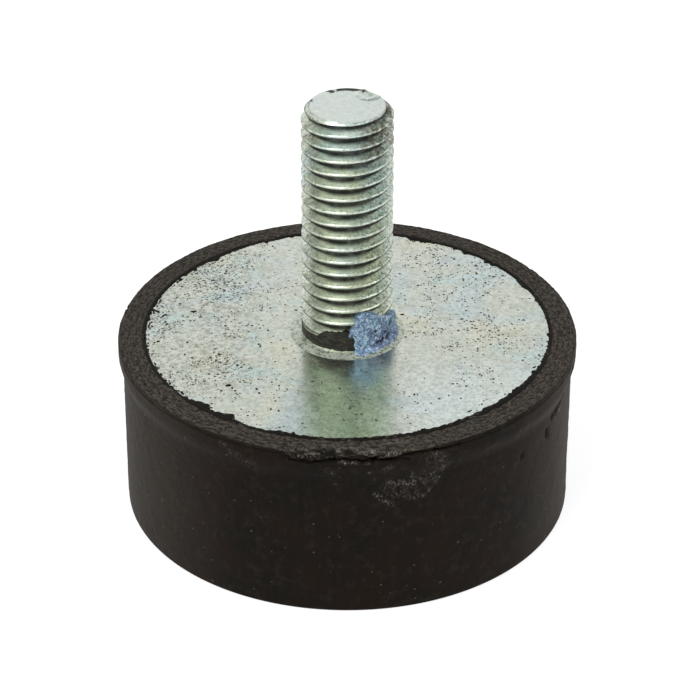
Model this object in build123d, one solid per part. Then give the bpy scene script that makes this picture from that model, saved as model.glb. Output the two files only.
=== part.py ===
from build123d import *
from build123d.topology import SkipClean
from math import ceil, radians, tan
import os

# A male-female bobbin vibration mount: a rubber body bonded between two steel plates, with an
# M10 stud standing on the top plate and an M10 tapped insert in the bottom one.
#
# Lengths are in millimetres. The origin is the centre of the underside that the mount stands on,
# and +Z runs up the axis of the stud.

# Rubber body
body_height = 20.0
wall_diameter = 49.0        # the straight part of the side
lip_overhang = 0.5          # how far the lip at the top stands out past the wall
lip_height = 1.4            # the upright face of the lip, with its rounded edge
lip_blend = 2.4             # the height over which the lip runs back into the wall
rubber_edge_radius = 0.35

# Steel plates, the same blank at both ends
plate_edge_cover = 2.3      # the rubber between a plate's edge and the side wall
plate_thickness = 2.0
plate_edge_break = 0.25     # the broken edge of a plate's outer face, which the rubber laps over

# M10 x 1.5 thread, the same in the stud and the insert
thread_pitch = 1.5
thread_flank_angle = 30.0   # each flank, from square to the axis

# Stud
stud_crest_diameter = 9.84  # an M10 thread of class 6g, at about the middle of its tolerance
stud_root_diameter = 8.16
stud_root_flat = 0.25
stud_projection = 27.5      # from the top plate's face to the tip
stud_neck_height = 2.85     # from the plate's face to the middle of the first full groove, at -Y
stud_tip_chamfer = 0.9
stud_head_diameter = 18.0
stud_head_thickness = 3.0
stud_head_edge_break = 0.6
stud_shoulder_diameter = 12.4   # the part of the stud that is pressed into the top plate
stud_shoulder_rise = 0.15       # how far the shoulder stands out of the plate
stud_shoulder_clearance = 0.04  # radial, between the shoulder and the plate's hole

# Tapped insert
insert_spigot_diameter = 14.0
insert_spigot_clearance = 0.04  # radial, between the spigot and the bottom plate's hole
insert_barrel_diameter = 18.0
insert_barrel_edge_break = 0.6
insert_end_wall = 1.0       # the metal left above the point of the drilled hole
tapping_drill_diameter = 8.5
drill_point_angle = 118.0
mouth_chamfer_diameter = 10.4

rubber_between_fixings = 3.5    # from the insert's closed end up to the stud's head

# The crests of the stud stay short faces when its round bar is drawn as this many arcs.
crest_arcs = 8

plate_diameter = wall_diameter - 2 * plate_edge_cover
plate_face_height = body_height
plate_seat_height = plate_face_height - plate_thickness
stud_head_base = plate_seat_height - stud_head_thickness
stud_tip_height = plate_face_height + stud_projection
insert_height = stud_head_base - rubber_between_fixings
drill_point_height = tapping_drill_diameter / 2 / tan(radians(drill_point_angle / 2))
tapped_depth = insert_height - insert_end_wall - drill_point_height


def turned(outline):
    """Turn a closed outline, given as a list of lines in the XZ plane, about the Z axis."""
    return revolve(make_face(Wire(outline)), axis=Axis.Z)


def disc(diameter, bottom, top):
    """An upright cylinder on the axis, between two heights."""
    lower_centre = Align.CENTER, Align.CENTER, Align.MIN
    return Pos(0, 0, bottom) * Cylinder(diameter / 2, top - bottom, align=lower_centre)


def make_plate_blank():
    """A blanked disc standing on Z = 0, with its broken edge on top."""
    blank = disc(plate_diameter, 0, plate_thickness)
    return chamfer(blank.edges().sort_by(Axis.Z)[-1:], plate_edge_break)


def place_top_blank():
    return Pos(0, 0, plate_seat_height) * make_plate_blank()


def place_bottom_blank():
    """The same blank turned over, so that its broken edge faces the ground."""
    return Pos(0, 0, plate_thickness) * Rot(180, 0, 0) * make_plate_blank()


def make_top_plate():
    hole_diameter = stud_shoulder_diameter + 2 * stud_shoulder_clearance
    return place_top_blank() - disc(hole_diameter, plate_seat_height, plate_face_height)


def make_bottom_plate():
    hole_diameter = insert_spigot_diameter + 2 * insert_spigot_clearance
    return place_bottom_blank() - disc(hole_diameter, 0, plate_thickness)


def make_stud_head():
    """The round head that is trapped in the rubber and pulls up against the top plate."""
    head = disc(stud_head_diameter, stud_head_base, plate_seat_height)
    return chamfer(head.edges().sort_by(Axis.Z)[:1], stud_head_edge_break)


def make_thread_groove():
    """The V groove of the stud's thread, as one ridge that winds up past the tip.

    The path is a chain of single turns, because a cut by one long helix is not dependable.
    """
    root_radius = stud_root_diameter / 2
    outer_radius = stud_crest_diameter / 2 + thread_pitch / 8
    half_root = stud_root_flat / 2
    half_mouth = half_root + (outer_radius - root_radius) * tan(radians(thread_flank_angle))
    start = plate_face_height + stud_neck_height - 0.75 * thread_pitch
    turns = ceil((stud_tip_height - start) / thread_pitch) + 1
    section = Plane.XZ * Polygon(
        (root_radius, start - half_root),
        (root_radius, start + half_root),
        (outer_radius, start + half_mouth),
        (outer_radius, start - half_mouth),
        align=None,
    )
    path = []
    for turn in range(turns):
        centre = (0, 0, start + turn * thread_pitch)
        path.append(Helix(thread_pitch, thread_pitch, root_radius, center=centre).edge())
    return sweep(section, path=Wire(path), is_frenet=True, clean=False).solid()


def make_stud_bar():
    """The bar that the thread is cut in, from the plate's seat to the chamfered tip."""
    crest_radius = stud_crest_diameter / 2
    corners = [Vector(crest_radius, 0).rotate(Axis.Z, 360 / crest_arcs * k) for k in range(crest_arcs)]
    arcs = []
    for k in range(crest_arcs):
        middle = Vector(crest_radius, 0).rotate(Axis.Z, 360 / crest_arcs * (k + 0.5))
        arcs.append(ThreePointArc(corners[k], middle, corners[(k + 1) % crest_arcs]))
    bar = Solid.extrude(Face(Wire(arcs)), Vector(0, 0, stud_tip_height - plate_seat_height))
    return bar.moved(Location((0, 0, plate_seat_height)))


def make_tip_waste():
    """The ring that is turned away to leave the chamfer at the stud's tip."""
    chamfer_foot = stud_tip_height - stud_tip_chamfer
    crest_radius = stud_crest_diameter / 2
    clear_radius = crest_radius + thread_pitch
    outline = Polyline(
        (crest_radius, chamfer_foot),
        (clear_radius, chamfer_foot),
        (clear_radius, stud_tip_height),
        (crest_radius - stud_tip_chamfer, stud_tip_height),
        close=True,
    )
    return turned((Plane.XZ * outline).edges()).solid()


def make_stud():
    with SkipClean():
        bar = make_stud_bar().cut(make_thread_groove())
        bar = bar.cut(make_tip_waste())
        shoulder_top = plate_face_height + stud_shoulder_rise
        shoulder = disc(stud_shoulder_diameter, plate_seat_height, shoulder_top)
        return bar.fuse((make_stud_head() + shoulder).solid())


def make_insert_blank():
    """The insert's outside: a spigot through the bottom plate under a wider barrel."""
    barrel = disc(insert_barrel_diameter, plate_thickness, insert_height)
    barrel = chamfer(barrel.edges().sort_by(Axis.Z)[-1:], insert_barrel_edge_break)
    return disc(insert_spigot_diameter, 0, plate_thickness) + barrel


def make_threaded_insert():
    """The insert, drilled from below to the tapping size with a pointed end and a chamfered mouth."""
    drill_radius = tapping_drill_diameter / 2
    mouth_radius = mouth_chamfer_diameter / 2
    hole = Polyline(
        (0, 0),
        (mouth_radius, 0),
        (drill_radius, mouth_radius - drill_radius),
        (drill_radius, tapped_depth),
        (0, tapped_depth + drill_point_height),
        close=True,
    )
    return make_insert_blank() - turned((Plane.XZ * hole).edges())


def make_rubber_body():
    """The moulding: a short cylinder with a lip at the top, formed round the metal pieces."""
    wall = wall_diameter / 2
    lip = wall + lip_overhang
    lip_foot = body_height - lip_height
    blend_foot = lip_foot - lip_blend
    edge = rubber_edge_radius
    blend_middle = (wall + lip_overhang / 2, lip_foot - lip_blend / 2)
    lower_blend = TangentArc((wall, blend_foot), blend_middle, tangent=(0, 1))
    upper_blend = TangentArc(blend_middle, (lip, lip_foot), tangent=lower_blend % 1)
    outline = [
        Line((0, 0), (wall - edge, 0)),
        TangentArc((wall - edge, 0), (wall, edge), tangent=(1, 0)),
        Line((wall, edge), (wall, blend_foot)),
        lower_blend,
        upper_blend,
        Line((lip, lip_foot), (lip, body_height - edge)),
        TangentArc((lip, body_height - edge), (lip - edge, body_height), tangent=(0, 1)),
        Line((lip - edge, body_height), (0, body_height)),
        Line((0, body_height), (0, 0)),
    ]
    body = turned([Plane.XZ * line.edge() for line in outline])
    return body - place_top_blank() - make_stud_head() - place_bottom_blank() - make_insert_blank()


pieces = {
    "rubber_body": make_rubber_body(),
    "top_plate": make_top_plate(),
    "stud": make_stud(),
    "bottom_plate": make_bottom_plate(),
    "threaded_insert": make_threaded_insert(),
}

os.makedirs("parts", exist_ok=True)
for name, piece in pieces.items():
    export_step(piece, f"parts/{name}.step")
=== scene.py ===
"""The looks of the bobbin vibration mount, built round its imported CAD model.

Lengths in the mesh code are in millimetres and angles in degrees, in the CAD frame. A mesh is
turned into metres when it is made.
"""
import itertools
import math

import bmesh
import bpy
import numpy as np
from mathutils import Matrix, Vector


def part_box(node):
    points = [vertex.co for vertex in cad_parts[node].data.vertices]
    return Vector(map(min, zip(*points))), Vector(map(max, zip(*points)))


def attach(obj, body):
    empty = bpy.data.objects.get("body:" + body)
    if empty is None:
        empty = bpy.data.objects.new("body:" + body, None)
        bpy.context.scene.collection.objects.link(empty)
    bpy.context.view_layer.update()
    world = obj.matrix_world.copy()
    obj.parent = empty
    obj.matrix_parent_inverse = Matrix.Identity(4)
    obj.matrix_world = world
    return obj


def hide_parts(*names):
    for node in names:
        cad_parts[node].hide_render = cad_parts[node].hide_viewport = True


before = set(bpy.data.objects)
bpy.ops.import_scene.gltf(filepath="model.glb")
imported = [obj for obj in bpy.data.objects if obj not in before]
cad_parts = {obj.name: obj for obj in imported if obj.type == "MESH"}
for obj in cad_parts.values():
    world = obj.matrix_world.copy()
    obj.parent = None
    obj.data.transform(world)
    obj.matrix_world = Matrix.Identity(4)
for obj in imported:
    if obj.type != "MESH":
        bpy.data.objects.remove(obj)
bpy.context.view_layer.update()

MM = 0.001


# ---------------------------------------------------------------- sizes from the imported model
def node_box(name):
    low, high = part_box(name)
    return np.array(low) / MM, np.array(high) / MM


rubber_low, rubber_high = node_box("rubber_body")
plate_low, plate_high = node_box("top_plate")
base_low, base_high = node_box("bottom_plate")
stud_low, stud_high = node_box("stud")
insert_low, insert_high = node_box("threaded_insert")

LIP_R = rubber_high[0]
TOP = rubber_high[2]
WALL_R = LIP_R - 0.5
EDGE_R = 0.35
PLATE_R = plate_high[0]
PLATE_BREAK = 0.25
SEAT = plate_low[2]
HEAD_R = stud_high[0]
HEAD_BASE = stud_low[2]
TIP = stud_high[2]
INSERT_TOP = insert_high[2]
BARREL_R = insert_high[0]
BASE_SEAT = base_high[2]

PITCH = 1.5
CREST_R = 4.92
ROOT_R = 4.08
ROOT_FLAT = 0.25
GROOVE_START = TOP + 2.85 - 0.75 * PITCH
SHOULDER_R = 6.235
SHOULDER_TOP = TOP + 0.15
SHOULDER_LIP = 0.015    # the shoulder's outer edge above the plate
TIP_CHAMFER = 0.9
FLANK_SLOPE = math.tan(math.radians(30))
CONTACT_GAP = 0.003     # keeps faces that touch from lying in one plane
LIP_FACE = 1.4
LIP_BLEND = 2.4

TAP_R = 4.25
TAP_DEPTH = 7.95
TAP_START = 0.4
TAP_MOUTH_R = 5.2
SPIGOT_R = 7.0


# ---------------------------------------------------------------- noise and mesh helpers
def lattice(cells, seed):
    """A repeatable number from -1 to 1 for each integer cell."""
    h = cells[..., 0] * 73856093 ^ cells[..., 1] * 19349663 ^ cells[..., 2] * 83492791
    h = h ^ (seed * 2654435761)
    h = (h ^ (h >> 13)) * 1274126177
    return ((h ^ (h >> 16)) & 0xFFFF) / 32767.5 - 1.0


def noise(points, size, seed, octaves=1):
    """Smooth noise from about -1 to 1 at each point, with features of about that size."""
    total = np.zeros(points.shape[:-1])
    strength = 1.0
    for octave in range(octaves):
        place = points / (size / 2.0 ** octave) + 17.3 * seed
        cell = np.floor(place).astype(np.int64)
        part = place - cell
        part = part * part * (3 - 2 * part)
        value = np.zeros(points.shape[:-1])
        for corner in itertools.product((0, 1), repeat=3):
            weight = np.ones(points.shape[:-1])
            for axis in range(3):
                weight = weight * (part[..., axis] if corner[axis] else 1 - part[..., axis])
            value += weight * lattice(cell + np.array(corner), seed + octave)
        total += strength * value
        strength *= 0.5
    return total / (2 - 2 * strength)


def smooth(value, low, high):
    """0 below low, 1 above high, and a smooth step between them."""
    t = np.clip((value - low) / (high - low), 0, 1)
    return t * t * (3 - 2 * t)


def band(value, low, high, soft):
    """1 between low and high, falling to 0 over a soft width outside them."""
    return smooth(value, low - soft, low) * (1 - smooth(value, high, high + soft))


def ring_table(table, angle):
    """Reads a table of (angle, value) that closes on itself, for angles from -180 to 180."""
    keys = np.array([row[0] for row in table], float)
    values = np.array([row[1] for row in table], float)
    return np.interp(angle, keys, values, period=360)


def path_distance(across, along, path):
    """Distance from each point to a chain of straight runs, all in the same flat coordinates."""
    best = np.full(across.shape, 1e9)
    for (x0, y0), (x1, y1) in zip(path[:-1], path[1:]):
        dx, dy = x1 - x0, y1 - y0
        length = dx * dx + dy * dy + 1e-12
        t = np.clip(((across - x0) * dx + (along - y0) * dy) / length, 0, 1)
        best = np.minimum(best, np.hypot(across - x0 - t * dx, along - y0 - t * dy))
    return best


def polar(radius, angle, height):
    """Points from radii, angles in degrees and heights."""
    turn = np.radians(angle)
    return np.stack(np.broadcast_arrays(radius * np.cos(turn), radius * np.sin(turn), height), -1)


def strip_faces(rows, columns, closed, first=0):
    """Quads of a grid whose points are numbered row by row."""
    faces = []
    last = columns if closed else columns - 1
    for r, c in itertools.product(range(rows - 1), range(last)):
        a = first + r * columns + c
        b = first + r * columns + (c + 1) % columns
        faces.append((a, b, b + columns, a + columns))
    return faces


def make_piece(name, points, faces, material, replaces=None, sharp=35, marks=None):
    """One mesh piece of the object. Points that coincide are merged."""
    mesh = bpy.data.meshes.new(name)
    mesh.from_pydata((np.asarray(points) * MM).tolist(), [], faces)
    if marks:
        for key, values in marks.items():
            layer = mesh.attributes.new(key, "FLOAT", "POINT")
            layer.data.foreach_set("value", np.asarray(values, np.float32).ravel())
    work = bmesh.new()
    work.from_mesh(mesh)
    bmesh.ops.remove_doubles(work, verts=work.verts, dist=2e-7)
    bmesh.ops.dissolve_degenerate(work, edges=work.edges, dist=1e-8)
    bmesh.ops.recalc_face_normals(work, faces=work.faces)
    work.to_mesh(mesh)
    work.free()
    mesh.shade_smooth()
    mesh.set_sharp_from_angle(angle=math.radians(sharp))
    mesh.materials.append(material)
    piece = bpy.data.objects.new(name, mesh)
    bpy.context.scene.collection.objects.link(piece)
    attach(piece, "root")
    if replaces:
        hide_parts(replaces)
    return piece


# ---------------------------------------------------------------- material helpers
class Shader:
    """A material whose nodes are added one call at a time."""

    def __init__(self, name, **principled):
        self.material = bpy.data.materials.new(name)
        self.material.use_nodes = True
        self.tree = self.material.node_tree
        self.surface = self.tree.nodes["Principled BSDF"]
        for key, value in principled.items():
            self.surface.inputs[key.replace("_", " ")].default_value = value
        position = self.add("ShaderNodeTexCoord").outputs["Object"]
        self.place = self.add("ShaderNodeVectorMath", {0: position, "Scale": 1 / MM},
                              operation="SCALE").outputs[0]
        self.parts = self.add("ShaderNodeSeparateXYZ", {0: self.place}).outputs

    def add(self, kind, inputs=None, **settings):
        made = self.tree.nodes.new(kind)
        for key, value in settings.items():
            setattr(made, key, value)
        for key, value in (inputs or {}).items():
            self.feed(made.inputs[key], value)
        return made

    def feed(self, socket, value):
        if isinstance(value, bpy.types.NodeSocket):
            self.tree.links.new(value, socket)
        else:
            socket.default_value = value

    def math(self, operation, *values, clamp=False):
        made = self.add("ShaderNodeMath", operation=operation, use_clamp=clamp)
        for k, value in enumerate(values):
            self.feed(made.inputs[k], value)
        return made.outputs[0]

    def steps(self, value, low, high, at_low=0.0, at_high=1.0):
        made = self.add("ShaderNodeMapRange", {"Value": value, "From Min": low, "From Max": high,
                                               "To Min": at_low, "To Max": at_high},
                        interpolation_type="SMOOTHSTEP")
        return made.outputs[0]

    def stretched(self, x, y, z):
        return self.add("ShaderNodeVectorMath", {0: self.place, 1: (x, y, z)},
                        operation="MULTIPLY").outputs[0]

    def noise(self, size, detail=3.0, rough=0.55, place=None, warp=0.0):
        made = self.add("ShaderNodeTexNoise", {
            "Vector": place or self.place, "Scale": 1.0 / size, "Detail": detail,
            "Roughness": rough, "Distortion": warp})
        return made.outputs["Fac"]

    def mix(self, factor, first, second, blend="MIX"):
        made = self.add("ShaderNodeMix", data_type="RGBA", blend_type=blend)
        self.feed(made.inputs[0], factor)
        self.feed(made.inputs[6], first)
        self.feed(made.inputs[7], second)
        return made.outputs[2]

    def dots(self, size, share, smallest, largest, seed=0.0, place=None):
        """Scattered round dots: about that share of the cells has one. 1 inside a dot."""
        place = place or self.place
        moved = self.add("ShaderNodeVectorMath", {0: place, 1: (seed, seed * 1.7, seed * 0.6)},
                         operation="ADD").outputs[0]
        cell = self.add("ShaderNodeTexVoronoi", {"Vector": moved, "Scale": 1.0 / size})
        draw = self.add("ShaderNodeSeparateColor", {0: cell.outputs["Color"]}).outputs
        edge = self.steps(draw[1], 0.0, 1.0, smallest / size, largest / size)
        inside = self.math("LESS_THAN", cell.outputs["Distance"], edge)
        picked = self.math("LESS_THAN", draw[0], share)
        return self.math("MULTIPLY", inside, picked)

    def bump(self, height, strength, distance_mm):
        made = self.add("ShaderNodeBump", {"Height": height, "Strength": strength,
                                           "Distance": distance_mm * MM})
        self.feed(self.surface.inputs["Normal"], made.outputs[0])

    def attribute(self, name):
        return self.add("ShaderNodeAttribute", attribute_name=name).outputs["Fac"]


def colour(red, green, blue):
    return (red, green, blue, 1.0)


# ---------------------------------------------------------------- zinc plate
def make_plate_material(name):
    s = Shader(name, Metallic=1.0)
    x, y = s.parts[0], s.parts[1]
    flow = s.noise(9.0, 2.0, 0.5, warp=0.6)
    tint = s.mix(s.steps(flow, 0.36, 0.52), colour(0.60, 0.68, 0.68), colour(0.66, 0.69, 0.62))
    warm = s.noise(7.0, 2.0, 0.5, s.stretched(1.0, 0.8, 1.0), warp=0.4)
    tint = s.mix(s.steps(warm, 0.55, 0.70, 0.0, 0.7), tint, colour(0.70, 0.69, 0.55))
    cool = s.noise(5.5, 2.0, 0.5, s.stretched(0.9, 1.2, 1.0), warp=0.4)
    tint = s.mix(s.steps(cool, 0.56, 0.70, 0.0, 0.7), tint, colour(0.55, 0.69, 0.69))
    # Painted light, not real finish: lighter at the front right, to suit the camera's view.
    painted_light_front_right = s.math("MULTIPLY", s.steps(x, 3.0, 10.0), s.steps(y, -5.0, -12.0))
    tint = s.mix(s.math("MULTIPLY", painted_light_front_right, 0.7), tint, colour(0.72, 0.80, 0.79))
    # FAULT: painted light. It brightens the stud's mirror image in the photo's view, and shows
    # as a false pale stripe from the sides. These four lines can be deleted.
    in_front = s.math("MULTIPLY", s.steps(x, -5.2, -3.6), s.steps(x, 5.2, 3.6))
    in_front = s.math("MULTIPLY", in_front, s.steps(y, -6.3, -9.0))
    in_front = s.math("MULTIPLY", in_front, s.steps(s.parts[2], 12.0, 15.0))
    tint = s.mix(s.math("MULTIPLY", in_front, 0.8), tint, colour(0.82, 0.95, 0.82))
    left_zone = s.math("MULTIPLY", s.steps(x, -8.0, -13.0), s.steps(y, -16.0, -10.0))
    mottle = s.noise(0.45, 6.0, 0.75)
    mottled = s.math("MULTIPLY", s.steps(mottle, 0.43, 0.60),
                     s.math("ADD", s.math("MULTIPLY", left_zone, 0.35), 0.5))
    tint = s.mix(mottled, tint, colour(0.32, 0.33, 0.27))
    right_zone = s.math("MULTIPLY", s.steps(x, 21.0, 17.0), s.steps(x, 4.0, 8.0))
    right_zone = s.math("MULTIPLY", right_zone, s.steps(y, -7.0, -3.0))
    zone = s.math("ADD", left_zone, s.math("MULTIPLY", right_zone, 0.55), clamp=True)
    patch = s.steps(s.noise(3.6, 3.0, 0.6, warp=0.5), 0.40, 0.62)
    zone = s.math("MULTIPLY", s.math("ADD", s.math("MULTIPLY", zone, 0.9), 0.25), patch)
    fine = s.dots(0.28, s.math("MULTIPLY", zone, 0.9), 0.03, 0.13, 3.0)
    fine_two = s.dots(0.48, s.math("MULTIPLY", zone, 0.5), 0.05, 0.18, 9.0)
    rare = s.dots(1.7, 0.10, 0.05, 0.20, 21.0)
    specks = s.math("MAXIMUM", s.math("MAXIMUM", fine, fine_two), rare)
    tint = s.mix(s.math("MULTIPLY", specks, 0.88), tint, colour(0.045, 0.045, 0.038))
    s.feed(s.surface.inputs["Base Color"], tint)
    rough = s.steps(s.noise(2.2, 3.0, 0.6), 0.3, 0.7, 0.20, 0.30)
    rough = s.math("ADD", rough, s.math("MULTIPLY", specks, 0.35))
    s.feed(s.surface.inputs["Roughness"], rough)
    height = s.math("SUBTRACT", s.math("MULTIPLY", s.noise(0.35, 3.0, 0.6), 0.5), specks)
    s.bump(height, 0.35, 0.02)
    return s.material


def make_stud_material(name):
    s = Shader(name, Metallic=1.0)
    x, z = s.parts[0], s.parts[2]
    flow = s.noise(6.0, 2.0, 0.5, warp=0.5)
    tint = s.mix(s.steps(flow, 0.38, 0.60), colour(0.60, 0.70, 0.66), colour(0.66, 0.71, 0.58))
    low_part = s.steps(z, 38.0, 24.0, 0.0, 0.6)
    tint = s.mix(low_part, tint, colour(0.74, 0.76, 0.62))
    grain = s.noise(0.34, 6.0, 0.75)
    # Dark grain: real speckle over the stud, stronger on the right flank, and painted shade on the
    # left flank.
    speckle_right_shade_left = s.math("MAXIMUM", s.steps(x, -0.5, 3.0, 0.35, 1.0), s.steps(x, -2.6, -4.2, 0.35, 1.0))
    dark = s.math("MULTIPLY", s.steps(grain, 0.47, 0.60, 0.0, 0.85), speckle_right_shade_left)
    tint = s.mix(dark, tint, colour(0.17, 0.19, 0.16))
    rust = s.math("MULTIPLY", s.steps(x, 0.5, 2.5), s.steps(z, 41.5, 44.5))
    rust = s.math("MULTIPLY", rust, s.steps(s.noise(0.5, 5.0, 0.7), 0.42, 0.58))
    rust = s.math("MULTIPLY", rust, s.steps(z, 47.25, 46.9))
    tint = s.mix(s.math("MULTIPLY", rust, 0.85), tint, colour(0.16, 0.115, 0.075))
    # Painted shade in the thread's roots, under its crests, on its flanks and at the chamfer, and
    # real dirt at the tip.
    dirt_and_shade = s.attribute("dirt_and_shade")
    tint = s.mix(dirt_and_shade, tint, colour(0.016, 0.017, 0.013))
    specks = s.dots(0.33, 0.22, 0.03, 0.08, 5.0)
    tint = s.mix(s.math("MULTIPLY", specks, 0.7), tint, colour(0.05, 0.05, 0.04))
    matt = s.attribute("matt")
    speckle = s.noise(0.35, 5.0, 0.75)
    dull = s.mix(s.steps(speckle, 0.46, 0.60), colour(0.66, 0.70, 0.62), colour(0.26, 0.28, 0.23))
    tint = s.mix(s.steps(matt, 0.0, 0.3), tint, dull)
    face = s.math("MULTIPLY", s.steps(z, 47.2, 47.38), s.math("SUBTRACT", 1.0, dirt_and_shade))
    tint = s.mix(s.math("MULTIPLY", face, 0.8), tint, colour(0.72, 0.77, 0.75))
    s.feed(s.surface.inputs["Base Color"], tint)
    rough = s.steps(s.noise(0.6, 4.0, 0.6), 0.3, 0.7, 0.24, 0.40)
    rough = s.math("ADD", rough, s.math("MULTIPLY", s.math("MAXIMUM", dirt_and_shade, matt), 0.4))
    s.feed(s.surface.inputs["Roughness"], rough)
    s.bump(s.math("SUBTRACT", s.noise(0.30, 4.0, 0.65), specks), 0.45, 0.03)
    return s.material


def make_rubber_material(name):
    s = Shader(name, Roughness=0.62, Specular_Tint=colour(1.0, 0.86, 0.74))
    s.surface.inputs["Specular IOR Level"].default_value = 0.085
    broad = s.noise(6.0, 3.0, 0.55)
    tint = s.mix(s.steps(broad, 0.38, 0.60), colour(0.0070, 0.0062, 0.0050),
                 colour(0.0115, 0.0072, 0.0056))
    blotch = s.noise(1.3, 5.0, 0.7)
    tint = s.mix(s.steps(blotch, 0.50, 0.66, 0.0, 0.8), tint, colour(0.021, 0.0155, 0.012))
    streak = s.noise(1.0, 4.0, 0.6, s.stretched(1.6, 1.6, 0.16))
    tint = s.mix(s.steps(streak, 0.50, 0.72, 0.0, 0.15), tint, colour(0.024, 0.018, 0.013))
    # Painted light: paler at the left and right edges as the photo's camera sees them.
    painted_edge_sheen = s.math("MAXIMUM", s.steps(s.parts[0], -11.0, -22.5), s.steps(s.parts[0], 17.0, 24.5))
    grain = s.noise(0.28, 5.0, 0.75)
    tint = s.mix(s.math("MULTIPLY", painted_edge_sheen, s.steps(grain, 0.3, 0.7, 0.4, 1.0)), tint,
                 colour(0.040, 0.033, 0.026))
    top = s.attribute("top")
    arc = s.math("MULTIPLY", s.math("ARCTAN2", s.parts[1], s.parts[0]), 10.0)
    reach = s.add("ShaderNodeVectorMath", {0: s.stretched(1.0, 1.0, 0.0)}, operation="LENGTH")
    round_ring = s.add("ShaderNodeCombineXYZ", {0: arc, 1: reach.outputs["Value"]}).outputs[0]
    drawn = s.math("ADD", s.math("MULTIPLY", s.noise(0.30, 5.0, 0.75, round_ring), 0.6),
                   s.math("MULTIPLY", grain, 0.4))
    ring = s.mix(s.steps(drawn, 0.44, 0.58), colour(0.015, 0.0125, 0.010),
                 colour(0.082, 0.070, 0.058))
    tint = s.mix(top, tint, ring)
    wear = s.attribute("wear")
    streaks = s.noise(0.34, 5.0, 0.8, s.stretched(1.0, 1.0, 0.7), warp=1.2)
    worn = s.math("MULTIPLY", wear, s.steps(streaks, 0.50, 0.60, 0.02, 2.4))
    tint = s.mix(s.math("MINIMUM", worn, 1.0), tint, colour(0.23, 0.20, 0.175))
    # Black on the flash, the crumbs and patches of the tear, and as painted shade in the cracks and
    # under the lip's corner.
    black = s.attribute("black")
    tint = s.mix(black, tint, colour(0.003, 0.0027, 0.0022))
    dust = s.dots(0.9, 0.4, 0.03, 0.12, 2.0)
    tint = s.mix(s.math("MULTIPLY", dust, 0.5), tint, colour(0.16, 0.14, 0.12))
    s.feed(s.surface.inputs["Base Color"], tint)
    s.bump(s.math("ADD", s.noise(0.25, 4.0, 0.7), s.math("MULTIPLY", streak, 0.4)), 0.5, 0.05)
    return s.material


def make_residue_material(name):
    s = Shader(name, Roughness=0.5)
    s.surface.inputs["Specular IOR Level"].default_value = 0.25
    streak = s.noise(0.5, 4.0, 0.65, s.stretched(0.6, 0.6, 2.0))
    tint = s.mix(s.steps(streak, 0.40, 0.68), colour(0.010, 0.009, 0.007),
                 colour(0.050, 0.045, 0.036))
    s.feed(s.surface.inputs["Base Color"], tint)
    s.bump(streak, 0.5, 0.05)
    return s.material


def make_paint_material(name):
    s = Shader(name, Roughness=0.5)
    s.surface.inputs["Specular IOR Level"].default_value = 0.4
    # Painted shade: dark navy in the dab's hollows.
    painted_hollow_shade = s.attribute("hollow")
    cloud = s.noise(0.55, 5.0, 0.7, warp=0.5)
    tint = s.mix(s.steps(cloud, 0.42, 0.60), colour(0.08, 0.16, 0.27), colour(0.32, 0.49, 0.65))
    shade = s.math("MULTIPLY", s.steps(s.noise(1.5, 2.0, 0.5), 0.42, 0.6),
                   s.steps(s.parts[0], 0.8, 3.2, 0.2, 1.0))
    tint = s.mix(s.math("MULTIPLY", shade, 0.75), tint, colour(0.055, 0.085, 0.20))
    fleck = s.steps(s.noise(0.26, 4.0, 0.7), 0.52, 0.60)
    tint = s.mix(s.math("MULTIPLY", fleck, 0.8), tint, colour(0.66, 0.75, 0.84))
    pit = s.steps(s.noise(0.36, 4.0, 0.7, warp=0.5), 0.47, 0.40)
    tint = s.mix(s.math("MULTIPLY", pit, 0.7), tint, colour(0.045, 0.07, 0.15))
    tint = s.mix(painted_hollow_shade, tint, colour(0.010, 0.014, 0.045))
    s.feed(s.surface.inputs["Base Color"], tint)
    s.bump(cloud, 0.6, 0.08)
    return s.material


zinc_plate = make_plate_material("zinc_plate_finish")
zinc_stud = make_stud_material("zinc_stud_finish")
rubber = make_rubber_material("rubber_finish")
residue = make_residue_material("residue_finish")
blue_paint = make_paint_material("paint_finish")


# ---------------------------------------------------------------- rubber body
# The radius of the moulding flash's inner edge on the top plate, by angle.
FLASH_EDGE = [
    (-178, 22.15), (-160, 22.1), (-150, 22.1), (-140, 22.1), (-137.5, 21.75), (-136, 21.3),
    (-133.8, 21.15), (-132, 21.6), (-130, 22.1), (-128.6, 21.65), (-126, 21.15), (-124.3, 21.0),
    (-122.6, 21.8), (-118, 21.95), (-112, 21.95), (-109, 21.55), (-107, 21.6), (-104, 21.85),
    (-90, 21.85), (-70, 21.8), (-56, 21.75), (-42, 21.6), (-34, 21.65), (-26, 21.75),
    (-17, 22.0), (-5, 22.15), (5, 22.1), (13, 22.1), (22, 22.1), (27.7, 21.8), (31, 22.05),
    (47, 22.15), (51, 22.05), (52.2, 21.7), (54, 22.1), (63, 22.05), (69.4, 21.5), (72, 22.05),
    (90, 22.05), (120, 22.0), (131, 21.9), (133.5, 21.45), (136, 21.9), (146, 22.05),
    (155, 22.15), (165, 22.15), (175, 22.15),
]

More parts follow.
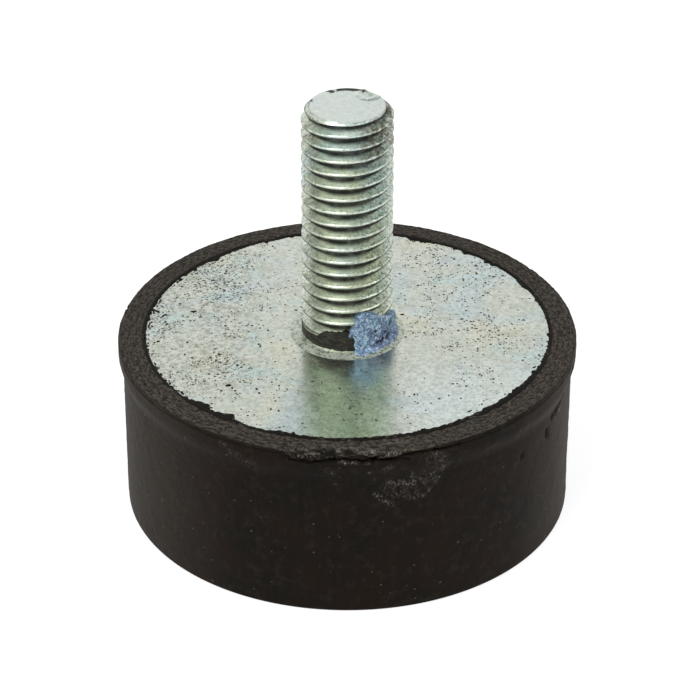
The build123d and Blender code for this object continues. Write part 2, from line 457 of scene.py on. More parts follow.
# Damage on the side and lip. Each path is in (angle, millimetres down from the lip's top corner);
# a negative second number is on the top face, that far in from the corner.
CRACKS = [   # path, width, depth
    ([(-105.5, 0.1), (-102.4, -0.4), (-96, -1.3), (-93.3, -0.95), (-90, -1.1), (-87.3, -0.6),
      (-84, -0.15)], 0.13, 0.34),
    ([(-104, 1.1), (-99.6, 1.25), (-95.5, 0.95), (-94.1, 0.65), (-91, 0.78), (-87.3, 0.95),
      (-84, 1.0), (-79.6, 0.9), (-74.8, 0.42), (-70.8, 0.45), (-62.4, 0.55)], 0.16, 0.38),
    ([(-84.3, 0.1), (-83.6, 0.9)], 0.34, 0.6),
    ([(-81.9, 0.85), (-75.3, 1.05)], 0.16, 0.3),
    ([(-13, 1.2), (-17, 2.6), (-21, 3.6), (-27, 4.3)], 0.26, 0.5),
    ([(-29.6, 5.2), (-29.6, 5.9)], 0.3, 0.25),
    ([(-40.9, 5.6), (-41.2, 6.1)], 0.25, 0.2),
]
SCUFFS = [   # path, width, strength
    ([(-79.3, 5.1), (-76.2, 5.7), (-73.9, 6.2), (-71.8, 6.2), (-70.7, 5.8), (-69.5, 4.9),
      (-66.8, 4.0), (-66.3, 2.8), (-67.5, 1.2)], 0.42, 0.34),
    ([(-80.1, 3.9), (-76.5, 4.1), (-74.8, 4.5), (-73.6, 4.3), (-74.4, 3.0)], 0.30, 0.7),
    ([(-76.2, 4.2), (-74.0, 4.5)], 0.34, 0.9),
    ([(-83.2, 5.05), (-81.8, 6.1), (-79, 6.6)], 0.36, 0.42),
    ([(-79.3, 5.1), (-80.4, 3.9)], 0.3, 0.25),
    ([(-79, 4.9), (-74, 4.6), (-69.5, 3.6)], 1.5, 0.24),
    ([(-70.5, 1.3), (-67.3, 1.1), (-66.9, 2.6)], 0.95, 0.26),
    ([(-95, 1.95), (-93.6, 2.25)], 0.5, 0.28),
    ([(-84.9, 2.25), (-84.2, 2.4)], 0.16, 0.4),
    ([(-84, 3.15), (-83.6, 3.3)], 0.2, 0.35),
    ([(-93.6, 3.9), (-92.6, 3.9)], 0.14, 0.3),
    ([(-79.6, 1.65), (-81.3, 2.0)], 0.36, 0.45),
    ([(-120.9, 0.8), (-117, 1.9), (-113, 2.7)], 0.7, 0.2),
    ([(-133, 2.0), (-133, 2.9)], 0.12, 0.5),
    ([(-19, 3.9), (-25, 4.9)], 0.5, 0.35),
    ([(-12, 2.2), (-16, 3.4)], 0.4, 0.3),
    ([(-82, 0.3), (-79, -0.1), (-77, 0.1)], 0.55, 0.9),
    ([(-81.5, -1.9), (-77, -2.1), (-74, -1.7), (-73.3, -0.8), (-76, -0.5)], 0.38, 0.38),
    ([(-104, 0.5), (-98, 0.35), (-93, 0.1)], 0.5, 0.34),
    ([(-94, -0.25), (-92, -0.45), (-90.3, -0.1)], 0.3, 0.55),
    ([(-96, -1.75), (-90, -1.6), (-84, -0.75)], 0.4, 0.3),
]


def ring_angles(count):
    """Angles round the rubber, closer together at the front, where its torn lip is."""
    fine = np.linspace(-180, 180, 7201)
    density = 1 + 1.7 * np.exp(-((fine + 86) / 30.0) ** 4)
    total = np.concatenate([[0], np.cumsum((density[1:] + density[:-1]) / 2)])
    return np.interp(np.linspace(0, total[-1], count + 1)[:-1], total, fine)


def rubber_rows(angles, inner):
    """Rows of (radius, height, outward radial part, outward upward part, distance down from the
    lip's top corner, kind), each an array over the angles. Kind is 1 where damage applies."""
    one = np.ones_like(angles)
    rows = []

    def row(r, z, nr, nz, s, kind):
        rows.append([r * one, z * one, nr * one, nz * one, s * one, kind * one])

    def run(start, end, count, nr, nz, kind, s_start=0.0, s_end=0.0, first=True):
        for t in np.linspace(0, 1, count)[0 if first else 1:]:
            row(start[0] + (end[0] - start[0]) * t, start[1] + (end[1] - start[1]) * t,
                nr, nz, s_start + (s_end - s_start) * t, kind)

    lift = 0.004
    flat_edge = PLATE_R - PLATE_BREAK
    row(HEAD_R - 0.6, HEAD_BASE, 0, 0, -9, 0)
    row(HEAD_R, HEAD_BASE + 0.6, 0, 0, -9, 0)
    row(HEAD_R, SEAT, 0, 0, -9, 0)
    row(PLATE_R, SEAT, 0, 0, -9, 0)
    row(PLATE_R, TOP - PLATE_BREAK, 0, 0, -9, 0)
    outer = np.maximum(flat_edge, inner)
    row(outer, TOP - np.maximum(0, outer - flat_edge) + lift, 0, 0, -9, 0)
    under = TOP - np.maximum(0, inner - flat_edge) + lift
    row(inner, under, 0, 0, -9, 0)
    start = inner + 0.02
    run((start, TOP + 0.075), (LIP_R - EDGE_R, TOP + 0.0), 19, 0, 1, 1, start - LIP_R, -EDGE_R)
    for t in np.linspace(0, 90, 8)[1:]:
        a = math.radians(90 - t)
        row(LIP_R - EDGE_R + EDGE_R * math.cos(a), TOP - EDGE_R + EDGE_R * math.sin(a),
            math.cos(a), math.sin(a), -EDGE_R + 2 * EDGE_R * t / 90, 1)
    run((LIP_R, TOP - EDGE_R), (LIP_R, TOP - LIP_FACE), 9, 1, 0, 1, EDGE_R, LIP_FACE,
        first=False)
    for t in np.linspace(0, 1, 16)[1:]:
        r = (LIP_R + WALL_R) / 2 + (LIP_R - WALL_R) / 2 * math.cos(math.pi * t)
        row(r, TOP - LIP_FACE - LIP_BLEND * t, 1, 0, LIP_FACE + LIP_BLEND * t, 1)
    run((WALL_R, TOP - 3.8), (WALL_R, 12.5), 22, 1, 0, 1, 3.8, TOP - 12.5, first=False)
    run((WALL_R, 12.5), (WALL_R, EDGE_R), 27, 1, 0, 1, TOP - 12.5, TOP - EDGE_R, first=False)
    for t in np.linspace(0, 90, 6)[1:]:
        a = math.radians(t)
        row(WALL_R - EDGE_R + EDGE_R * math.cos(a), EDGE_R - EDGE_R * math.sin(a), 0, 0, 30, 0)
    run((WALL_R - EDGE_R, 0), (flat_edge + 0.3, 0), 4, 0, 0, 0, 30, 30, first=False)
    row(flat_edge - 0.1 + (inner - 22) * 0.6, 0, 0, 0, 30, 0)
    row(PLATE_R, PLATE_BREAK, 0, 0, 30, 0)
    row(PLATE_R, BASE_SEAT, 0, 0, 30, 0)
    row(BARREL_R, BASE_SEAT, 0, 0, 30, 0)
    row(BARREL_R, INSERT_TOP - 0.6, 0, 0, 30, 0)
    row(BARREL_R - 0.6, INSERT_TOP, 0, 0, 30, 0)
    return np.array(rows)


def make_rubber_moulding():
    angles = ring_angles(768)
    edge_line = polar(22.0, angles, 0.0)
    inner = ring_table(FLASH_EDGE, angles)
    inner = (inner - 0.16 * np.abs(noise(edge_line, 0.9, 3))
             - 0.13 * np.abs(noise(edge_line, 0.4, 4)))
    inner = np.minimum(inner, PLATE_R - 0.03)
    rows = rubber_rows(angles, inner)
    radius, height, out_r, out_z, down, kind = rows.transpose(1, 0, 2)
    turn = np.broadcast_to(angles, radius.shape)
    base = polar(radius, turn, height)
    across = np.radians(turn) * LIP_R

    lumps = noise(base, 0.55, 11, 2)
    move = 0.028 * noise(base, 0.34, 5) + 0.035 * noise(base, 1.6, 6)
    on_top = band(down, -4.5, -0.25, 0.2)
    move = move + on_top * 0.03 * noise(base, 0.28, 8)
    wall_wave = 0.05 * noise(base * np.array([1, 1, 0.35]), 5.0, 7)
    move = move + band(down, 3.0, 18.5, 1.0) * wall_wave
    # The lip's corner is nicked all the way round.
    nick = smooth(noise(base, 0.8, 9), 0.35, 0.9)
    move = move - 0.16 * nick * band(down, -0.35, 0.35, 0.3)
    # A thin groove runs round under the lip's corner, blackened as painted shade.
    line = 0.42 + 0.12 * noise(polar(LIP_R, turn, 0.0), 3.0, 10)
    seam = np.exp(-((down - line) / 0.10) ** 2) * (1 - band(turn, -104, -72, 3))
    move = move - 0.13 * seam
    black = 0.85 * seam

    torn = band(turn, -104.5, -83, 2.5) * band(down, -1.1, 0.95, 0.35)
    move = move - torn * (0.20 + 0.20 * lumps + 0.16 * noise(base, 0.3, 15))
    worn_edge = band(turn, -83, -70, 3) * band(down, -0.8, 0.6, 0.5)
    move = move - worn_edge * (0.12 + 0.10 * lumps)
    wear = np.zeros_like(move)
    # The cracks are cut in and blackened as painted shade.
    for path, width, depth in CRACKS:
        flat = [(math.radians(a) * LIP_R, s) for a, s in path]
        away = path_distance(across, down + 0.10 * noise(base, 0.7, 12), flat)
        cut = np.exp(-(away / width) ** 2)
        move = move - depth * cut
        black = np.maximum(black, 0.95 * smooth(cut, 0.25, 0.8))
    for path, width, strength in SCUFFS:
        flat = [(math.radians(a) * LIP_R, s) for a, s in path]
        away = path_distance(across, down, flat)
        mark = np.exp(-(away / (0.75 * width)) ** 2) * (0.65 + 0.55 * noise(base, 0.4, 14, 2))
        wear = np.maximum(wear, strength * mark)
        move = move - 0.05 * strength * mark * (0.6 + noise(base, 0.3, 13))
    wear = np.maximum(wear, torn * 0.6 * smooth(lumps, 0.0, 0.5))
    squashed = polar(radius, turn, 2.4 * height)
    black = np.maximum(black, 0.9 * torn * smooth(noise(squashed, 0.9, 16, 2), 0.10, 0.35))
    wear = wear * (1 - black)
    ragged = smooth(radius - inner, 0.42, 0.0) * (out_z > 0.5)
    black = np.maximum(black, 0.8 * ragged * kind)

    move = move * kind
    radius = np.minimum(radius + out_r * move, LIP_R)
    height = np.maximum(height + out_z * move, 0.0)
    top = on_top * kind * np.ones_like(move)
    points = polar(radius, turn, height)
    count = len(angles)
    # The rows start inside and run up, over and down the outside.
    faces = strip_faces(len(points), count, True)
    faces.append(tuple(range(count)))
    faces.append(tuple(range(len(points) * count - count, len(points) * count)))
    return make_piece("rubber_moulding", points.reshape(-1, 3), faces, rubber,
                      "rubber_body", sharp=60, marks={"wear": wear, "top": top, "black": black})


def make_flash_edge():
    """The thin ragged skin of rubber that has run over the edge of the top plate."""
    count = 2400
    angles = np.linspace(-180, 180, count + 1)[:-1]
    line = polar(22.0, angles, 0.0)
    teeth = 0.30 * np.abs(noise(line, 0.9, 3)) + 0.26 * np.abs(noise(line, 0.40, 61))
    teeth = (teeth + 0.26 * smooth(noise(line, 0.6, 62), 0.2, 0.6)
             + 0.10 * noise(line, 0.2, 63) - 0.12)
    inner = np.minimum(ring_table(FLASH_EDGE, angles) - teeth, 22.1)
    outer = np.full(count, 22.35)
    rows = [(outer, -0.06), (outer, 0.085), (inner + 0.16, 0.095), (inner + 0.03, 0.07),
            (inner, 0.03), (inner, 0.001)]
    points = [polar(r, angles, TOP + z - np.maximum(0, r - PLATE_R + PLATE_BREAK) * (z < 0.05))
              for r, z in rows]
    points = np.array(points)
    points[2:4, :, 2] += 0.02 * noise(points[2:4], 0.3, 64)
    faces = strip_faces(len(rows), count, True)
    last = (len(rows) - 1) * count
    faces += [(last + c, last + (c + 1) % count, (c + 1) % count, c) for c in range(count)]
    return make_piece("flash_edge", points.reshape(-1, 3), faces, rubber, sharp=50,
                      marks={"black": np.full(points[..., 0].size, 0.75)})


# ---------------------------------------------------------------- threads
THREAD_PHASES = np.array([
    -0.750, -0.660, -0.625, -0.595, -0.520, -0.420, -0.320, -0.220, -0.150, -0.100,
    0.000, 0.100, 0.150, 0.220, 0.320, 0.420, 0.520, 0.595, 0.625, 0.660])


def groove_offset(height, angle, start):
    """Height above the middle of the nearest groove, from minus to plus half a pitch."""
    turn = np.mod(angle, 360) / 360
    return np.mod(height - start - PITCH * turn + PITCH / 2, PITCH) - PITCH / 2


def helical_grid(start, low, high, columns):
    """Angles and heights of a grid whose rows follow the thread, held between two heights."""
    angles = np.linspace(0, 360, columns + 1)
    first = math.floor((low - start) / PITCH) - 1
    last = math.ceil((high - start) / PITCH) + 1
    offsets = np.concatenate([THREAD_PHASES + k * PITCH for k in range(first, last)])
    heights = start + offsets[:, None] + PITCH * angles[None, :] / 360
    heights = np.clip(heights, low, high)
    return np.broadcast_to(angles, heights.shape), heights


def revolve_rows(outline, columns):
    """Angles, radii and heights of rows turned from a list of (radius, height)."""
    angles = np.linspace(0, 360, columns + 1)
    radii = np.array([[r] * (columns + 1) for r, _ in outline], float)
    heights = np.array([[z] * (columns + 1) for _, z in outline], float)
    return np.broadcast_to(angles, radii.shape), radii, heights


def join_grids(grids):
    """One list of points and faces from several grids of points."""
    points, faces, first = [], [], 0
    for grid in grids:
        rows, columns = grid.shape[:2]
        points.append(grid.reshape(-1, 3))
        faces += strip_faces(rows, columns, False, first)
        first += rows * columns
    return np.concatenate(points), faces


def make_stud_piece():
    columns = 192
    tip = TIP - 0.10
    angle, height = helical_grid(GROOVE_START, SHOULDER_TOP, tip, columns)
    offset = np.abs(groove_offset(height, angle, GROOVE_START))
    rise = np.maximum(0, offset - ROOT_FLAT / 2) / FLANK_SLOPE
    full = np.minimum(ROOT_R + rise, CREST_R)
    # The first turn runs out towards the neck.
    turned = (height - GROOVE_START) / PITCH - np.mod(angle, 360) / 360
    runout = smooth(height, SHOULDER_TOP + 0.9, GROOVE_START - 0.1)
    radius = CREST_R - (CREST_R - full) * np.where(turned < -0.5, 0.0, 1.0) * runout
    cone = CREST_R - TIP_CHAMFER + (tip - height)
    radius = np.minimum(radius, cone)
    base = polar(radius, angle, height)
    radius = (radius + 0.012 * noise(base, 0.35, 21, 2)
              - 0.02 * smooth(noise(base, 0.9, 22), 0.4, 0.9))
    radius = np.minimum(radius, CREST_R)
    thread = polar(radius, angle, height)

    foot = radius[0]
    spread = np.linspace(0, 1, 9)
    shoulder_r = foot[None, :] + (SHOULDER_R - foot[None, :]) * spread[::-1, None]
    shoulder_a = np.broadcast_to(angle[0], shoulder_r.shape)
    slope = smooth(shoulder_r, CREST_R, SHOULDER_R)
    shoulder_h = SHOULDER_TOP - (SHOULDER_TOP - TOP - SHOULDER_LIP) * slope
    flat = polar(shoulder_r, shoulder_a, shoulder_h)
    between = band(shoulder_r, CREST_R + 0.15, SHOULDER_R - 0.1, 0.1)
    lumps = 0.030 * noise(flat, 0.4, 23, 2) * between
    shoulder = polar(shoulder_r, shoulder_a, shoulder_h + lumps)
    lower = [(0.001, HEAD_BASE), (HEAD_R - 0.6, HEAD_BASE), (HEAD_R, HEAD_BASE + 0.6),
             (HEAD_R, SEAT - CONTACT_GAP), (SHOULDER_R, SEAT - CONTACT_GAP),
             (SHOULDER_R, TOP + SHOULDER_LIP)]
    lower_a, lower_r, lower_h = revolve_rows(lower, columns)

    rim = radius[-1]
    shrink = np.concatenate([np.linspace(1, 0.4, 26), np.linspace(0.3, 0.0005, 5)])
    cap_r = rim[None, :] * shrink[:, None]
    cap = polar(cap_r, np.broadcast_to(angle[0], cap_r.shape), np.full(cap_r.shape, tip))
    points, faces = join_grids([polar(lower_r, lower_a, lower_h), shoulder, thread, cap])

    # A knock on the tip has pushed up a crescent of metal beside a shallow hollow.
    x, y, z = points[:, 0], points[:, 1], points[:, 2]
    near_tip = smooth(z, TIP - 1.6, TIP - 0.3)
    from_hit = np.hypot(x - 2.3, y - 2.5)
    rough = noise(points, 0.6, 24, 2)
    bowl = np.exp(-(from_hit / 0.95) ** 2)
    ridge = np.exp(-((from_hit - 1.15) / 0.25) ** 2) * smooth(rough, -0.5, 0.3)
    lift = near_tip * (0.12 * ridge - 0.10 * bowl * (0.8 + 1.2 * rough))
    points[:, 2] = np.minimum(z + lift, TIP)

    # Painted shade lies in the roots and along the lower edge of each crest, and real dirt in black
    # flecks behind the tip's rim.
    reach = np.hypot(points[:, 0], points[:, 1])
    turn = np.degrees(np.arctan2(points[:, 1], points[:, 0]))
    on_thread = (points[:, 2] > GROOVE_START - 0.6) & (reach < CREST_R + 0.01)
    depth = CREST_R - reach
    off = groove_offset(points[:, 2], turn, GROOVE_START)
    root = smooth(depth, 0.66, 0.80) * smooth(off, 0.36, 0.16)
    under_crest = 0.95 * band(off, 0.59, 0.67, 0.05) * (depth < 0.12)
    shade = np.maximum(root, under_crest)
    # Painted shade: a soft one on the side towards the photo's camera, and a dark strip on
    # the stud's left.
    soft = smooth(depth, 0.30, 0.72) * (off < 0) * (0.12 + 0.68 * band(turn, -108, -70, 26))
    streak = band(turn, -156, -138, 9) * (0.25 + 0.35 * noise(points, 0.7, 28, 2))
    shade = np.maximum(np.maximum(shade, soft), streak)
    shade = shade * on_thread * (points[:, 2] < TIP - 0.35)
    streaky = 0.92 + 0.18 * noise(points, 0.7, 25, 2)
    dirt_and_shade = np.clip(shade * streaky, 0, 0.95)
    flecks = noise(points, 0.45, 26, 2)
    rim_back = band(turn, 62, 120, 5) * smooth(reach + 0.35 * flecks, 3.25, 3.4)
    rim_left = band(turn, 120, 165, 5) * smooth(reach, 3.6, 3.8) * smooth(flecks, 0.05, 0.2)
    rim_back = np.maximum(rim_back * smooth(flecks, -0.55, -0.3), rim_left) * near_tip
    hit_dirt = near_tip * np.exp(-((from_hit - 1.0) / 0.25) ** 2) * smooth(rough, 0.15, 0.5)
    dirt_and_shade = np.maximum(dirt_and_shade, np.maximum(0.95 * rim_back, 0.75 * hit_dirt))
    on_shoulder = (reach > CREST_R + 0.02) & (points[:, 2] > TOP) & (points[:, 2] < TOP + 0.5)
    # The chamfer is bright between two thin rings of painted shade.
    below = tip - points[:, 2]
    patchy = 0.8 + 0.5 * noise(points, 0.8, 29, 2)
    rings = np.maximum(0.75 * band(below, 0.02, 0.08, 0.04), 0.85 * band(below, 0.42, 0.62, 0.08))
    dirt_and_shade = np.maximum(dirt_and_shade, np.clip(rings * patchy, 0, 0.9) * (reach > CREST_R - TIP_CHAMFER - 0.02)
                      * (below < 0.8))
    matt = on_shoulder * (0.3 + 0.7 * band(turn, -145, -35, 15))
    return make_piece("stud_threaded", points, faces, zinc_stud, "stud",
                      sharp=27, marks={"dirt_and_shade": dirt_and_shade, "matt": matt})


def make_insert_piece():
    columns = 160
    angle, height = helical_grid(TAP_START, 0.0, TAP_DEPTH, columns)
    offset = np.abs(groove_offset(height, angle, TAP_START))
    deep = np.maximum(0, 0.78 - offset / FLANK_SLOPE)
    deep = deep * smooth(height, TAP_DEPTH - 0.2, TAP_DEPTH - 1.2)
    bore = TAP_R + np.minimum(deep, 0.75)
    mouth = TAP_MOUTH_R - height
    radius = np.maximum(bore, mouth)
    inside = polar(radius, angle, height)
    closed_a, closed_r, closed_h = revolve_rows(
        [(TAP_R, TAP_DEPTH), (2.1, TAP_DEPTH + 1.3), (0.001, TAP_DEPTH + 2.55)], columns)
    rim = radius[0]
    ring = np.stack([np.full_like(rim, SPIGOT_R), rim])
    ring_a = np.broadcast_to(angle[0], ring.shape)
    underside = polar(ring, ring_a, np.zeros_like(ring))
    outside_a, outside_r, outside_h = revolve_rows(
        [(0.001, INSERT_TOP), (BARREL_R - 0.6, INSERT_TOP), (BARREL_R, INSERT_TOP - 0.6),
         (BARREL_R, BASE_SEAT + CONTACT_GAP), (SPIGOT_R, BASE_SEAT + CONTACT_GAP),
         (SPIGOT_R, 0.0)], columns)
    points, faces = join_grids([
        polar(outside_r, outside_a, outside_h), underside, inside,
        polar(closed_r, closed_a, closed_h)])
    reach = np.hypot(points[:, 0], points[:, 1])
    # Painted shade: darker in the grooves of the tapped thread.
    dirt_and_shade = 0.5 * smooth(reach, TAP_R + 0.3, TAP_R + 0.7) * (reach < 5.1) * (points[:, 2] > 0.3)
    return make_piece("insert_tapped", points, faces, zinc_stud,
                      "threaded_insert", sharp=35, marks={"dirt_and_shade": dirt_and_shade})


# ---------------------------------------------------------------- residue, paint and crumbs
def shell_piece(name, low_angle, high_angle, low, high, thickness_at, material,
                columns, rows, inner_radius, marks_at=None):
    """A closed skin round the stud's neck. thickness_at gives its outside above the neck, and
    where that is below zero the skin is hidden inside the metal."""
    angles = np.linspace(low_angle, high_angle, columns)
    heights = np.linspace(low, high, rows)
    angle, height = np.meshgrid(angles, heights)
    outside = polar(CREST_R + thickness_at(angle, height), angle, height)
    inside = polar(inner_radius, angle, height)
    points = np.concatenate([outside.reshape(-1, 3), inside.reshape(-1, 3)])
    count = rows * columns
    faces = strip_faces(rows, columns, False)
    faces += [tuple(reversed(f)) for f in strip_faces(rows, columns, False, count)]
    border = list(range(columns))
    border += [r * columns + columns - 1 for r in range(1, rows)]
    border += [(rows - 1) * columns + c for c in range(columns - 2, -1, -1)]
    border += [r * columns for r in range(rows - 2, 0, -1)]
    for a, b in zip(border, border[1:] + border[:1]):
        faces.append((b, a, a + count, b + count))
    marks = None
    if marks_at is not None:
        value = marks_at(angle, height).ravel()
        marks = {"hollow": np.concatenate([value, value])}
    return make_piece(name, points, faces, material, sharp=60, marks=marks)


HIDDEN = -0.95      # the height of a skin above the neck where it is out of sight in the metal
BAND_TOP = [(-200, 21.2), (-185, 21.7), (-174, 21.6), (-168, 21.4), (-152.5, 21.4), (-138, 21.55),
            (-131, 21.6), (-124, 22.15), (-119.8, 22.35), (-110.9, 22.4), (-98, 22.5),
            (-80, 22.6)]


def band_thickness(angle, height):
    base = polar(CREST_R, angle, height)
    top = np.interp(angle, [k for k, _ in BAND_TOP], [v for _, v in BAND_TOP])
    top = top + 0.10 * noise(base, 0.6, 31, 2)
    edge = np.minimum(top - height, (angle + 196 + 3 * noise(base, 0.8, 34)) * 0.086)
    edge = np.minimum(edge, height - TOP - 0.30 - 0.12 * noise(base, 0.5, 41, 2))
    thick = 0.055 + 0.03 * noise(base, 0.5, 32, 2)
    return np.where(edge > 0, thick * smooth(edge, 0, 0.08), HIDDEN)


DAB_TOP = [(-92, 21.8), (-86.5, 22.9), (-84, 23.3), (-78, 24.4), (-68, 24.85), (-56, 24.4),
           (-40, 23.8), (-24, 23.2), (-8, 22.9), (10, 22.3), (24, 21.4), (34, 20.3)]
DAB_HOLLOWS = [(-24.4, 22.4, 0.55), (-31, 20.9, 0.55), (-42, 20.8, 0.45), (-50, 20.75, 0.35),
               (-52.6, 22.3, 0.22), (-18, 21.6, 0.5), (-37, 21.7, 0.25)]


def dab_hollow(angle, height):
    base = polar(CREST_R, angle, height)
    deep = np.zeros_like(angle)
    for a, z, size in DAB_HOLLOWS:
        away = np.hypot(np.radians(angle - a) * CREST_R, height - z)
        away = away + 0.16 * noise(base, 0.35, 38, 2)
        deep = np.maximum(deep, smooth(away, size, size * 0.45))
    return deep


def dab_thickness(angle, height):
    base = polar(CREST_R, angle, height)
    top = np.interp(angle, [k for k, _ in DAB_TOP], [v for _, v in DAB_TOP])
    top = top + 0.14 * noise(base, 0.5, 35, 2)
    left = (angle + 84.0 + 10 * noise(base, 1.1, 36, 4)) * 0.086
    edge = np.minimum(top - height, left)
    body = 0.14 + 0.14 * smooth(angle, -75, -15)
    thick = body + 0.13 * noise(base, 0.45, 37, 3)
    thick = thick - 0.22 * dab_hollow(angle, height)
    foot = smooth(height, SHOULDER_TOP + 0.35, SHOULDER_TOP - 0.02)
    spill = 0.35 + 0.5 * smooth(noise(base, 0.7, 39), -0.1, 0.7) * band(angle, -75, -28, 8)
    thick = thick + foot * spill
    return np.where(edge > 0, np.maximum(thick, 0.05) * smooth(edge, 0, 0.18), HIDDEN)


def add_lump(store, centre, size, turn, seed, detail=2):
    """Adds one crumb: a flattened ball with an uneven outline."""
    ball = bmesh.new()
    bmesh.ops.create_icosphere(ball, subdivisions=detail, radius=1.0)
    points = np.array([v.co for v in ball.verts])
    faces = [tuple(v.index for v in f.verts) for f in ball.faces]
    ball.free()
    points = points * (1 + 0.38 * noise(points + 3.1 * seed, 0.9, 41 + seed % 7, 2))[:, None]
    points = points * np.array(size)
    c, s = math.cos(math.radians(turn)), math.sin(math.radians(turn))
    points = points @ np.array([[c, s, 0], [-s, c, 0], [0, 0, 1]])
    points = points + np.array(centre)
    first = sum(len(p) for p in store[0])
    store[0].append(points)
    store[1].extend(tuple(first + k for k in f) for f in faces)


# Bits of rubber that lie on the top plate: x, y, half length, half width, turn.
CRUMBS = [
    (-21.0, 4.15, 0.36, 0.13, -30), (-20.25, 3.1, 0.30, 0.10, 60), (-20.0, 3.35, 0.22, 0.09, 0),
    (-19.8, 1.3, 0.24, 0.10, 70), (-19.95, 1.8, 0.16, 0.08, 20), (-16.95, 4.05, 0.40, 0.10, 5),
    (-21.45, 1.75, 0.14, 0.08, 20), (-21.35, 0.85, 0.16, 0.08, -10), (-20.5, -2.35, 0.2, 0.14, 10),
    (-20.9, -2.6, 0.1, 0.06, 0), (-12.6, -11.4, 0.34, 0.20, 10), (-12.2, -11.9, 0.12, 0.1, 0),
    (-8.65, 0.0, 0.11, 0.09, 0), (-9.6, -2.9, 0.14, 0.1, -30), (-17.35, -2.5, 0.13, 0.09, 0),
    (-17.5, -5.05, 0.1, 0.09, 0), (-13.8, -5.1, 0.13, 0.1, 0), (-11.75, -7.25, 0.12, 0.09, 0),
    (-9.6, -12.1, 0.16, 0.09, -20), (-9.3, -12.9, 0.15, 0.08, 0), (-8.0, -16.1, 0.12, 0.1, 0),
    (-7.2, -16.4, 0.14, 0.1, 60), (-7.25, -11.45, 0.11, 0.08, 0), (-11.4, -10.7, 0.1, 0.07, 0),
    (0.25, -15.9, 0.12, 0.13, 0), (9.25, 6.7, 0.10, 0.09, 0), (6.05, 3.4, 0.26, 0.09, 0),
    (7.05, -13.2, 0.12, 0.09, 0), (10.7, -13.4, 0.09, 0.07, 0), (11.95, -13.95, 0.1, 0.08, 0),
    (20.65, -5.2, 0.14, 0.1, -20), (20.0, -7.7, 0.24, 0.08, 30), (12.8, -16.5, 0.3, 0.08, 35),
    (14.3, -9.4, 0.14, 0.06, 50), (18.6, 12.05, 0.12, 0.14, 10), (13.35, 17.5, 0.3, 0.2, -10),
]


def make_crumbs():
    store = ([], [])
    for k, (x, y, long, wide, turn) in enumerate(CRUMBS):
        add_lump(store, (x, y, TOP + 0.02), (long, wide, 0.07), turn, k)
    draw = np.random.default_rng(7)
    # Flakes of flash have come away along the left of the plate's edge.
    for k in range(46):
        angle = draw.uniform(148, 232)
        radius = draw.uniform(21.55, 21.95)
        long = draw.uniform(0.10, 0.42)
        x, y = radius * math.cos(math.radians(angle)), radius * math.sin(math.radians(angle))
        add_lump(store, (x, y, TOP + 0.02), (long, draw.uniform(0.06, 0.13), 0.06), angle + 90,
                 100 + k, 1)
    for k in range(70):
        angle, radius = draw.uniform(120, 250), 22.0 * math.sqrt(draw.uniform(0.25, 0.97))
        x, y = radius * math.cos(math.radians(angle)), radius * math.sin(math.radians(angle))
        size = draw.uniform(0.04, 0.09)
        add_lump(store, (x, y, TOP + 0.01), (size, size * 0.8, 0.04), angle, 200 + k, 1)
    return make_piece("rubber_crumbs", np.concatenate(store[0]), store[1], rubber,
                      sharp=80, marks={"black": np.full(sum(map(len, store[0])), 0.6)})


rubber_moulding = make_rubber_moulding()
flash_edge = make_flash_edge()
stud_threaded = make_stud_piece()
insert_tapped = make_insert_piece()
neck_residue = shell_piece("neck_residue", -200, -80, SHOULDER_TOP - 0.03, 22.9, band_thickness,
                           residue, 160, 48, 3.8)
paint_dab = shell_piece("paint_dab", -92, 36, SHOULDER_TOP - 0.03, 25.0, dab_thickness,
                        blue_paint, 170, 72, 3.7, dab_hollow)
rubber_crumbs = make_crumbs()

for name in ("top_plate", "bottom_plate"):
    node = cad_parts[name]
    node.data.materials.clear()
    node.data.materials.append(zinc_plate)


# ---------------------------------------------------------------- floor, light and camera
def seen_rays(tree):
    """1 for the rays that show the pale background: the camera's, and those in gloss and glass."""
    rays = tree.nodes.new("ShaderNodeLightPath").outputs
    total = rays["Is Camera Ray"]
    for name in ("Is Glossy Ray", "Is Transmission Ray"):
        either = tree.nodes.new("ShaderNodeMath")
        either.operation = "MAXIMUM"
        tree.links.new(total, either.inputs[0])
        tree.links.new(rays[name], either.inputs[1])
        total = either.outputs[0]
    return total


def make_floor():
    mesh = bpy.data.meshes.new("floor")
    size = 1.6
    mesh.from_pydata([(-size, -size, 0), (size, -size, 0), (size, size, 0), (-size, size, 0)],
                     [], [(0, 1, 2, 3)])
    floor = bpy.data.objects.new("floor", mesh)
    floor.location.z = -0.00002
    bpy.context.scene.collection.objects.link(floor)
    material = bpy.data.materials.new("floor_finish")
    material.use_nodes = True
    tree = material.node_tree
    tree.nodes.clear()
    matt = tree.nodes.new("ShaderNodeBsdfDiffuse")
    matt.inputs["Color"].default_value = colour(0.45, 0.45, 0.45)
    pale = tree.nodes.new("ShaderNodeEmission")
    pale.inputs["Strength"].default_value = 0.76
    both = tree.nodes.new("ShaderNodeAddShader")
    tree.links.new(matt.outputs[0], both.inputs[0])
    tree.links.new(pale.outputs[0], both.inputs[1])
    pick = tree.nodes.new("ShaderNodeMixShader")
    tree.links.new(seen_rays(tree), pick.inputs[0])
    tree.links.new(matt.outputs[0], pick.inputs[1])
    tree.links.new(both.outputs[0], pick.inputs[2])
    out = tree.nodes.new("ShaderNodeOutputMaterial")
    tree.links.new(pick.outputs[0], out.inputs[0])
    mesh.materials.append(material)


# The sky that gloss sees, by the sine of the height above the horizon: white round the sides,
# dimmer above, and a bright panel overhead.
SKY = [(0.0, (1, 1, 1)), (0.60, (1, 1, 1)), (0.70, (0.27, 0.36, 0.29)),
       (0.90, (0.31, 0.39, 0.31)), (0.97, (1.0, 1.0, 0.94))]


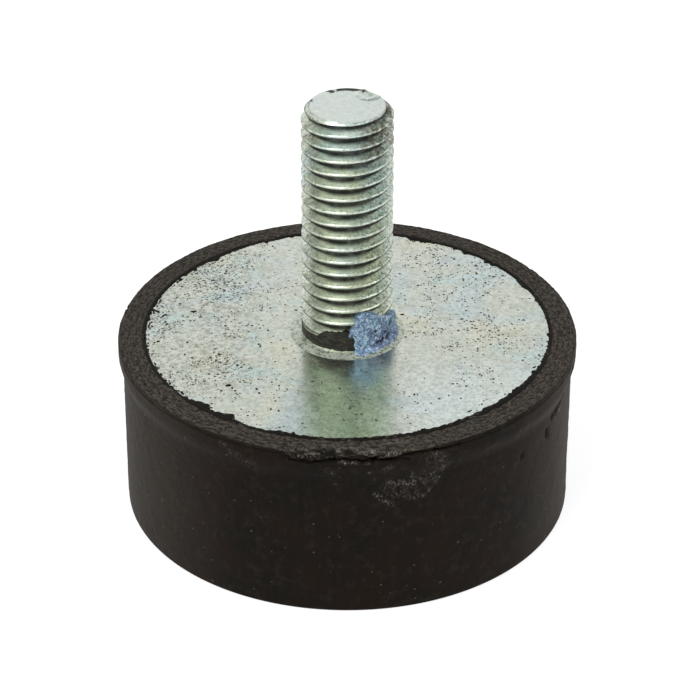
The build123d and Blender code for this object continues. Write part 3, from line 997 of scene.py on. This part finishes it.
def make_world():
    world = bpy.data.worlds.new("studio")
    bpy.context.scene.world = world
    world.use_nodes = True
    tree = world.node_tree
    tree.nodes.clear()
    direction = tree.nodes.new("ShaderNodeTexCoord").outputs["Generated"]
    split = tree.nodes.new("ShaderNodeSeparateXYZ")
    tree.links.new(direction, split.inputs[0])
    ramp = tree.nodes.new("ShaderNodeValToRGB")
    tree.links.new(split.outputs[2], ramp.inputs[0])
    stops = ramp.color_ramp.elements
    for element, (position, tint) in zip(stops, (SKY[0], SKY[-1])):
        element.position, element.color = position, colour(*tint)
    for position, tint in SKY[1:-1]:
        stops.new(position).color = colour(*tint)
    shown = tree.nodes.new("ShaderNodeBackground")
    tree.links.new(ramp.outputs[0], shown.inputs["Color"])
    light = tree.nodes.new("ShaderNodeBackground")
    light.inputs["Color"].default_value = colour(0.97, 0.99, 1.0)
    light.inputs["Strength"].default_value = 0.55
    pick = tree.nodes.new("ShaderNodeMixShader")
    tree.links.new(seen_rays(tree), pick.inputs[0])
    tree.links.new(light.outputs[0], pick.inputs[1])
    tree.links.new(shown.outputs[0], pick.inputs[2])
    out = tree.nodes.new("ShaderNodeOutputWorld")
    tree.links.new(pick.outputs[0], out.inputs[0])


def make_lamp(name, place, aim, size, power):
    data = bpy.data.lights.new(name, "AREA")
    data.shape = "DISK"
    data.size = size
    data.energy = power
    lamp = bpy.data.objects.new(name, data)
    lamp.location = place
    direction = Vector(aim) - Vector(place)
    lamp.rotation_euler = direction.to_track_quat("-Z", "Y").to_euler()
    bpy.context.scene.collection.objects.link(lamp)


def make_camera():
    elevation, distance, middle = math.radians(32.24), 0.3416, Vector((0, 0, 0.010))
    data = bpy.data.cameras.new("camera")
    data.sensor_width = 36.0
    data.lens = 158.5
    data.clip_start = 0.01
    camera = bpy.data.objects.new("camera", data)
    back = Vector((0, -math.cos(elevation), math.sin(elevation)))
    # The mount stands a little below the middle of the picture and to its left.
    turn = Matrix.Rotation(math.radians(90) - elevation, 4, "X")
    turn = turn @ Matrix.Rotation(math.radians(1.076), 4, "X")
    turn = turn @ Matrix.Rotation(math.radians(-0.050), 4, "Y")
    camera.matrix_world = Matrix.Translation(middle + distance * back) @ turn
    bpy.context.scene.collection.objects.link(camera)
    bpy.context.scene.camera = camera


make_floor()
make_world()
make_lamp("key", (-0.20, -0.22, 0.42), (0, 0, 0.02), 0.30, 1.1)
make_lamp("fill", (0.34, -0.18, 0.26), (0, 0, 0.02), 0.30, 0.5)
make_camera()
bpy.context.scene.view_settings.view_transform = "Standard"
